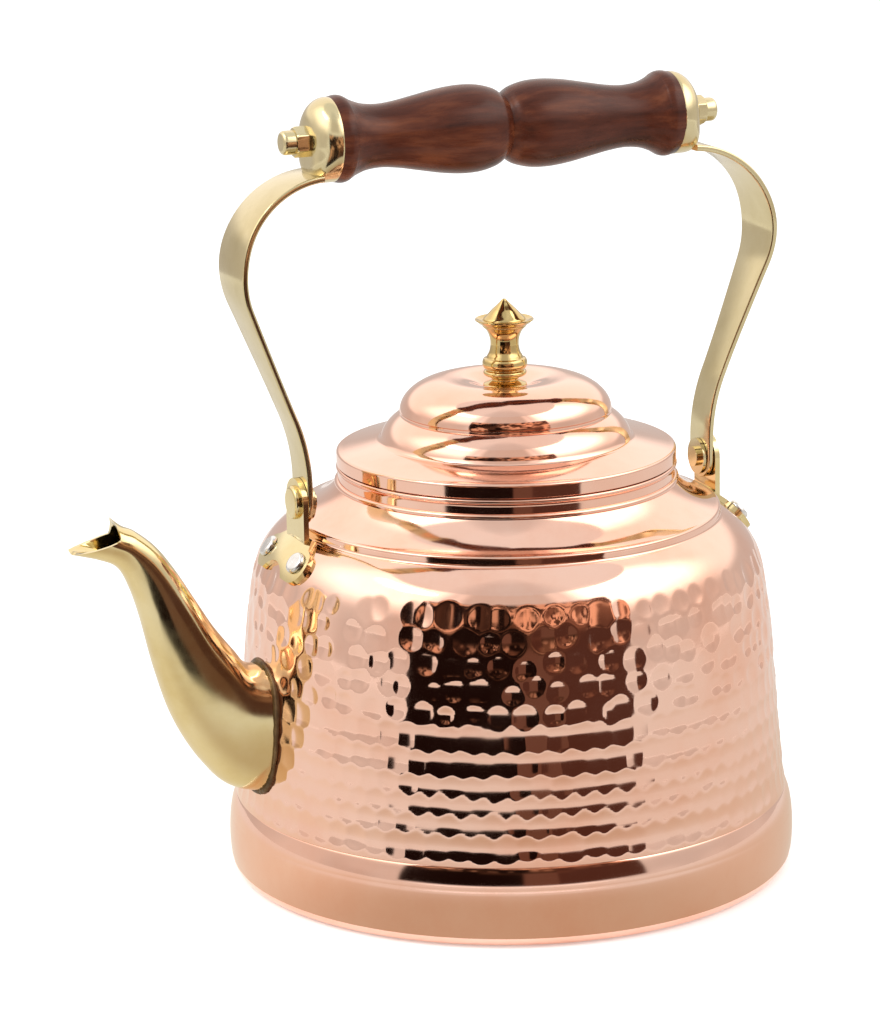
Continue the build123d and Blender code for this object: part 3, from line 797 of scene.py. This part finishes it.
def make_nut(end, side):
    """A hexagon nut with a smaller round end, standing on the cap's face."""
    start = CAP_RIM_X + CAP_DEPTH - 0.4
    neck, shoulder = NUT_TIP_X - 3.9, NUT_TIP_X - NUT_END_ROUND
    line = joined(
        [(start, BORE_R), (start, NUT_CORNER_R), (start + 0.3, NUT_CORNER_R)],
        [(neck - 0.4, NUT_CORNER_R), (neck, 4.15), (neck, NUT_END_R), (shoulder, NUT_END_R)],
        ellipse((shoulder, NUT_END_R - 1.2), NUT_END_ROUND, 1.2, 90, 10, 8),
        [(NUT_TIP_X, 2.2), (NUT_TIP_X, 0), (shoulder, 0), (shoulder, BORE_R)],
    )
    angles = ring_angles(NUT_COLUMNS, 0.5)
    sixth = math.pi / 3
    to_flat = 0.5 * NUT_FLATS / np.cos((angles + 0.5 * sixth) % sixth - 0.5 * sixth)
    along, radius = side * line[:, :1] * np.ones(NUT_COLUMNS), np.minimum(line[:, 1:], to_flat)
    points = np.stack([along, radius * np.cos(angles), GRIP_Z + radius * np.sin(angles)], axis=-1)
    faces = grid_faces(len(line), NUT_COLUMNS, True)
    nut = add_mesh(f"{end}_hexagon_nut", points.reshape(-1, 3), faces, sharp=20.0, weld=True)
    place(nut, "handle", "brass", STRAP_BRASS, f"{end}_cap_nut", f"{end}_nut_washer")


for end, side in (("front", -1), ("rear", 1)):
    make_strap(end, side)
    make_nut(end, side)

# the grip's outline from its middle to its end, which the cap covers
GRIP_END_X = 57.0
half = joined(
    smooth_through([
        (0.0, 9.3), (1.0, 10.0), (3.4, 11.5), (8.0, 12.7), (13.5, 12.95), (20, 12.3), (27, 11.0),
        (33.5, 9.8), (39.0, 9.25), (44.0, 9.7), (47.6, 10.9), (49.8, 12.1),
    ], 6),
    arc_through((49.9, 12.2), (51.4, 12.72), (53.2, 12.55), 7),
    [(54.6, 12.3), (54.6, 10.4), (GRIP_END_X, 10.4)],
)
grip_line = joined(half[:0:-1] * (-1, 1), half, [(GRIP_END_X, BORE_R), (-GRIP_END_X, BORE_R)])
grip = turned("turned_grip", grip_line, columns=160, axis="X", centre_z=GRIP_Z, sharp=55.0)
place(grip, "handle", "dark_wood", WOOD, "grip")

rod_end = NUT_TIP_X - 1.5
rod = turned(
    "through_rod",
    rounded([(-rod_end, 0, 0), (-rod_end, ROD_R, 0.4), (rod_end, ROD_R, 0.4), (rod_end, 0, 0)]),
    columns=64, axis="X", centre_z=GRIP_Z,
)
place(rod, "handle", "steel", STEEL, "grip_rod")


# ---- CAD nodes that stay ----------------------------------------------------------------------
# materials by a part of the node's name; lug_rivet stands before lug, which it contains
KEPT = {
    "lug_rivet": RIVET_ALLOY,
    "pivot_rivet": PALE_BRASS,
    "pivot_washer": STRAP_BRASS,
    "lug": PALE_BRASS,
    "knob_screw": STEEL,
    "knob_washer": KNOB_BRASS,
}
for name, node in frame["nodes"].items():
    if node.hide_render:
        continue
    for key, material in KEPT.items():
        if key in name:
            node.data.materials.clear()
            node.data.materials.append(material)
            break


# ---- floor, light and camera, in metres -------------------------------------------------------
AIM_Z = 0.100
CAMERA_DISTANCE = 1.2057
CAMERA_AZIMUTH = math.radians(-23.5)
CAMERA_ELEVATION = math.radians(14.455)
CAMERA_PAN = math.radians(-0.956)
CAMERA_TILT = math.radians(0.41)
CAMERA_ROLL = math.radians(-0.743)
SENSOR_HEIGHT, FOCAL_LENGTH = 36.0, 141.2
FARTHEST = 50.0

FLOOR_HALF = 6.0
FLOOR_TONE = (0.93, 0.93, 0.93, 1.0)
FLOOR_LIFT = 0.22

ROOM_RADIUS = 0.25
ROOM_TONE = (0.010, 0.004, 0.003)
PATCH_TONE = (0.15, 0.072, 0.042)
SPARK_TONE = (0.80, 0.46, 0.30)
STRIP_TONE = (0.14, 0.070, 0.048)
RIGHT_TONE = (0.075, 0.030, 0.020)

WALL_RADIUS = 0.95
WALL_LEVEL = 0.72
WALL_TONE = (1.0, 0.935, 0.885)

# the floor that reflections see: painted shade and warm copper bounce light next to the kettle, and painted
# lamp light making it lighter at the left and, less, at the right
FLOOR_SHADING_Z = 0.0015
SHADE_AND_BOUNCE_TONE, PALE_TONE = (0.60, 0.49, 0.37), (0.84, 0.81, 0.77)
LEFT_LAMP_GAIN, RIGHT_LAMP_GAIN = (0.30, 0.34, 0.34), (0.14, 0.16, 0.17)
PALE_LEFT_LAMP_GAIN = 0.08

CEILING_Z = 1.75
CEILING_LEVEL, CEILING_DROP = 0.96, 0.22


def stage_mesh(name, points, faces):
    """A mesh of the stage, from points in metres, and the empty node tree of its material."""
    obj = add_mesh(name, np.asarray(points) / MM, faces)
    material = bpy.data.materials.new(name)
    material.use_nodes = True
    material.node_tree.nodes.clear()
    obj.data.materials.append(material)
    return obj, material.node_tree


def make_floor():
    """A pale floor with a little light of its own, which softens the shadows on it."""
    corners = [(x * FLOOR_HALF, y * FLOOR_HALF, 0) for x, y in ((-1, -1), (1, -1), (1, 1), (-1, 1))]
    _, tree = stage_mesh("floor", corners, [(0, 1, 2, 3)])
    diffuse = tree.nodes.new("ShaderNodeBsdfDiffuse")
    diffuse.inputs["Color"].default_value = FLOOR_TONE
    lift = tree.nodes.new("ShaderNodeEmission")
    lift.inputs["Strength"].default_value = FLOOR_LIFT
    both = tree.nodes.new("ShaderNodeAddShader")
    output = tree.nodes.new("ShaderNodeOutputMaterial")
    tree.links.new(diffuse.outputs[0], both.inputs[0])
    tree.links.new(lift.outputs[0], both.inputs[1])
    tree.links.new(both.outputs[0], output.inputs["Surface"])


def glow_card(name, grid, tones):
    """A card that only reflections see, as a grid of points with a colour and an opacity at each."""
    rows, columns = grid.shape[:2]
    faces = [
        (r * columns + c, r * columns + c + 1, (r + 1) * columns + c + 1, (r + 1) * columns + c)
        for r in range(rows - 1) for c in range(columns - 1)
    ]
    card, tree = stage_mesh(name, grid.reshape(-1, 3), faces)
    card.visible_camera = False
    card.visible_diffuse = False
    card.visible_shadow = False
    layer = card.data.color_attributes.new("glow", "FLOAT_COLOR", "POINT")
    layer.data.foreach_set("color", tones.reshape(-1).astype(np.float32))
    tone = tree.nodes.new("ShaderNodeAttribute")
    tone.attribute_name = "glow"
    clear = tree.nodes.new("ShaderNodeBsdfTransparent")
    glow = tree.nodes.new("ShaderNodeEmission")
    mix = tree.nodes.new("ShaderNodeMixShader")
    output = tree.nodes.new("ShaderNodeOutputMaterial")
    tree.links.new(tone.outputs["Color"], glow.inputs["Color"])
    tree.links.new(tone.outputs["Alpha"], mix.inputs["Fac"])
    tree.links.new(clear.outputs[0], mix.inputs[1])
    tree.links.new(glow.outputs[0], mix.inputs[2])
    tree.links.new(mix.outputs[0], output.inputs["Surface"])


def around(azimuth, radius, z):
    """A point at an azimuth in degrees from the camera's side, positive to the camera's right."""
    a = CAMERA_AZIMUTH + math.radians(azimuth)
    return (radius * math.sin(a), -radius * math.cos(a), z)


def upright_grid(radius, azimuths, heights):
    return np.array([[around(a, radius, z) for a in azimuths] for z in heights])


def level_grid(z, azimuths, radii):
    return np.array([[around(a, r, z) for a in azimuths] for r in radii])


def blend(first, second, share):
    return first * (1 - share) + second * share


def plateau(x, rise, fall):
    """1 between two slopes, each given as (start, end), and 0 outside them."""
    return step_up(x, *rise) * (1 - step_up(x, *fall))


def blotches(shape, cells, sharpness):
    """Smooth random patches between 0 and 1."""
    coarse = RNG.random((cells[0] + 1, cells[1] + 1))
    y = np.linspace(0, cells[0] - 1e-6, shape[0])
    x = np.linspace(0, cells[1] - 1e-6, shape[1])
    i, j = np.floor(y).astype(int), np.floor(x).astype(int)
    v, u = step_up(y - i, 0, 1)[:, None], step_up(x - j, 0, 1)[None, :]
    low = blend(coarse[np.ix_(i, j)], coarse[np.ix_(i, j + 1)], u)
    high = blend(coarse[np.ix_(i + 1, j)], coarse[np.ix_(i + 1, j + 1)], u)
    return step_up(blend(low, high, v), 0.5 - sharpness, 0.5 + sharpness)


def make_dark_room():
    """A dark room behind the camera, with brown shapes and small sparks, for the metal to reflect."""
    azimuths, heights = np.linspace(-46, 56, 205), np.linspace(0.022, 0.31, 97)
    a, z = np.meshgrid(azimuths, heights)
    patches = blotches(a.shape, (9, 16), 0.16) * step_up(z, 0.085, 0.125)
    patches = patches * (0.25 + 0.75 * step_up(a, -22, 4)) * (1 - 0.5 * step_up(z, 0.18, 0.24))
    sparks = blotches(a.shape, (22, 40), 0.10) * step_up(z, 0.10, 0.15) * blotches(a.shape, (7, 9), 0.10)
    strip = plateau(a, (3.6, 4.4), (15.0, 16.0)) * (1 - step_up(z, 0.090, 0.105))
    right = step_up(a, 15.0, 16.0)
    tone = np.zeros(a.shape + (4,))
    tone[..., :3] = ROOM_TONE
    for share, colour in (
        (patches, PATCH_TONE), (sparks, SPARK_TONE), (strip, STRIP_TONE), (right, RIGHT_TONE)
    ):
        tone[..., :3] += share[..., None] * np.array(colour)
    tone[..., 3] = plateau(a, (-38.2, -37.2), (45.0, 46.2)) * plateau(z, (0.022, 0.027), (0.275, 0.305))
    glow_card("dark_room", upright_grid(ROOM_RADIUS, azimuths, heights), tone)


def make_ceiling():
    """A pale ceiling, darker towards the camera."""
    azimuths, radii = np.linspace(-180, 180, 61), np.array([0.001, 0.4, 0.8, 1.2, 1.6, 2.0])
    a, r = np.meshgrid(azimuths, radii)
    ahead = (1 - step_up(abs(a), 20, 50)) * step_up(r, 0.1, 0.5)
    tone = np.ones(r.shape + (4,))
    tone[..., :3] = (CEILING_LEVEL - CEILING_DROP * ahead)[..., None]
    tone[..., 3] = 1 - step_up(r, 1.2, 2.0)
    glow_card("ceiling", level_grid(CEILING_Z, azimuths, radii), tone)


def make_soft_walls():
    """Pale walls at both sides, brighter towards the lamps above, and one behind the kettle."""
    azimuths, heights = np.linspace(-180, 180, 181), np.linspace(0.0, 2.0, 61)
    a, z = np.meshgrid(azimuths, heights)
    level = WALL_LEVEL + 0.05 * np.sin(np.radians(3 * a) + 1.0) + 0.08 * blotches(a.shape, (10, 30), 0.4)
    level = level + (1.3 + 0.9 * step_up(a, 30, 60)) * step_up(z, 0.33, 0.90)
    level = blend(level, 0.66 + 0.64 * step_up(z, 0.28, 0.42), step_up(abs(a), 100, 130))
    centre = (1 - step_up(abs(a), 22, 36)) * step_up(z, 0.50, 0.70)
    level = blend(level, WALL_LEVEL, centre)
    tone = np.ones(a.shape + (4,))
    tone[..., :3] = level[..., None] * np.array(WALL_TONE)
    tone[..., 3] = np.maximum(step_up(abs(a), 30, 48), centre) * (1 - step_up(z, 1.7, 2.0))
    glow_card("soft_walls", upright_grid(WALL_RADIUS, azimuths, heights), tone)


def make_floor_shading_card():
    """The floor that the metal reflects, with painted light: warm painted shade and copper bounce light
    close to the copper, paler further out, and lighter at the sides with painted lamp light.
    """
    azimuths = np.linspace(-180, 180, 121)
    radii = np.array([0.0865, 0.10, 0.12, 0.14, 0.17, 0.21, 0.27, 0.4, 0.7, 1.4])
    a, r = np.meshgrid(azimuths, radii)
    # painted lamp light: the floor lighter towards the left and, less, towards the right
    left, right = (1 - step_up(a, -75, -20))[..., None], step_up(a, 25, 80)[..., None]
    near = np.array(SHADE_AND_BOUNCE_TONE) + left * np.array(LEFT_LAMP_GAIN) + right * np.array(RIGHT_LAMP_GAIN)
    far = np.array(PALE_TONE) + PALE_LEFT_LAMP_GAIN * left
    tone = np.ones(a.shape + (4,))
    # painted shade and copper bounce light near the kettle, fading to the pale floor further out
    tone[..., :3] = blend(near, far, step_up(r, 0.11, 0.30)[..., None])
    tone[..., 3] = 1 - step_up(r, 0.7, 1.4)
    glow_card("floor_shading_card", level_grid(FLOOR_SHADING_Z, azimuths, radii), tone)


def make_world():
    """Even white light from all around."""
    world = bpy.data.worlds.new("studio")
    world.use_nodes = True
    background = world.node_tree.nodes["Background"]
    background.inputs["Color"].default_value = (1.0, 1.0, 1.0, 1.0)
    background.inputs["Strength"].default_value = 1.0
    bpy.context.scene.world = world


def area_light(name, azimuth, distance, height, size, power):
    """A soft square lamp that faces the kettle."""
    data = bpy.data.lights.new(name, "AREA")
    data.shape = "SQUARE"
    data.size = size
    data.energy = power
    lamp = bpy.data.objects.new(name, data)
    bpy.context.scene.collection.objects.link(lamp)
    lamp.location = around(azimuth, distance, height)
    towards = Vector((0, 0, AIM_Z)) - lamp.location
    lamp.rotation_euler = towards.to_track_quat("-Z", "Y").to_euler()


def turned_pair(first, second, angle):
    """Two directions turned together, the first towards the second."""
    return (
        first * math.cos(angle) + second * math.sin(angle),
        second * math.cos(angle) - first * math.sin(angle),
    )


def make_camera():
    """The camera stands off the spout's side, a little above the kettle."""
    level, rise = math.cos(CAMERA_ELEVATION), math.sin(CAMERA_ELEVATION)
    forward, right = Vector((0, level, -rise)), Vector((1, 0, 0))
    up = right.cross(forward)
    forward, right = turned_pair(forward, right, CAMERA_PAN)
    forward, up = turned_pair(forward, up, CAMERA_TILT)
    right, up = turned_pair(right, up, CAMERA_ROLL)
    axes = Matrix((right, up, -forward)).transposed().to_4x4()
    axes.translation = Vector((0, -CAMERA_DISTANCE * level, AIM_Z + CAMERA_DISTANCE * rise))
    data = bpy.data.cameras.new("camera")
    data.sensor_fit = "VERTICAL"
    data.sensor_height = SENSOR_HEIGHT
    data.lens = FOCAL_LENGTH
    data.clip_end = FARTHEST
    camera = bpy.data.objects.new("camera", data)
    bpy.context.scene.collection.objects.link(camera)
    camera.matrix_world = Matrix.Rotation(CAMERA_AZIMUTH, 4, "Z") @ axes
    bpy.context.scene.camera = camera


make_floor()
make_dark_room()
make_ceiling()
make_soft_walls()
make_floor_shading_card()
make_world()
area_light("key_light", azimuth=-70, distance=1.1, height=1.1, size=0.8, power=9.0)
area_light("fill_light", azimuth=75, distance=1.2, height=0.9, size=0.8, power=5.0)
make_camera()
bpy.context.scene.view_settings.view_transform = "Standard"
